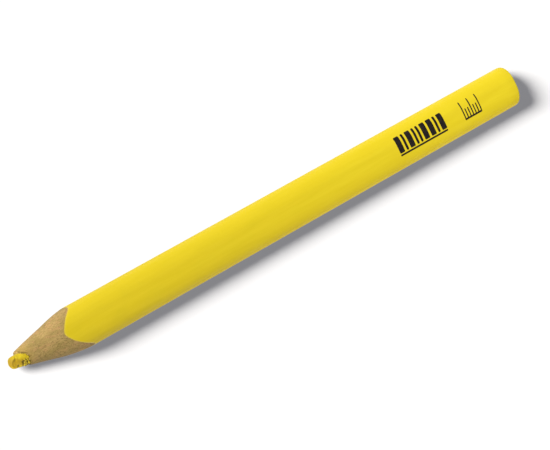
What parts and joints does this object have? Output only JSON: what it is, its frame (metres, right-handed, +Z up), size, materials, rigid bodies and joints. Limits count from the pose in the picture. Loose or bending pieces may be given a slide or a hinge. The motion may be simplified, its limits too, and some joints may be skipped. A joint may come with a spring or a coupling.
{
  "type": "carpenter pencil",
  "caption": "Flat-oval carpenter pencil with a thick yellow marking core in a glued wooden casing, yellow lacquer and a sharpened end.",
  "frame": {"origin": "middle of the pencil, on the surface that it lies on with one broad face down", "axes": "+X along the pencil from the sharpened end to the butt, Y across the width, +Z up through the thickness"},
  "size_m": [0.24, 0.012, 0.0077],
  "materials": {
    "casing_wood": "bare sharpened basswood, fine grain along the pencil",
    "marking_core": "waxy yellow crayon core, crumbly where it is worn",
    "wood_glue": "dried wood glue, thin brown line",
    "yellow_lacquer": "satin yellow lacquer, smooth",
    "black_ink": "black stamped imprint, flat"
  },
  "bodies": {
    "root": {"wood_slat_upper": "casing_wood", "wood_slat_lower": "casing_wood", "marking_core": "marking_core", "glue_line_left": "wood_glue", "glue_line_right": "wood_glue", "lacquer_coat": "yellow_lacquer", "imprint_bar_mark": "black_ink", "imprint_tick_mark": "black_ink"}
  },
  "joints": []
}
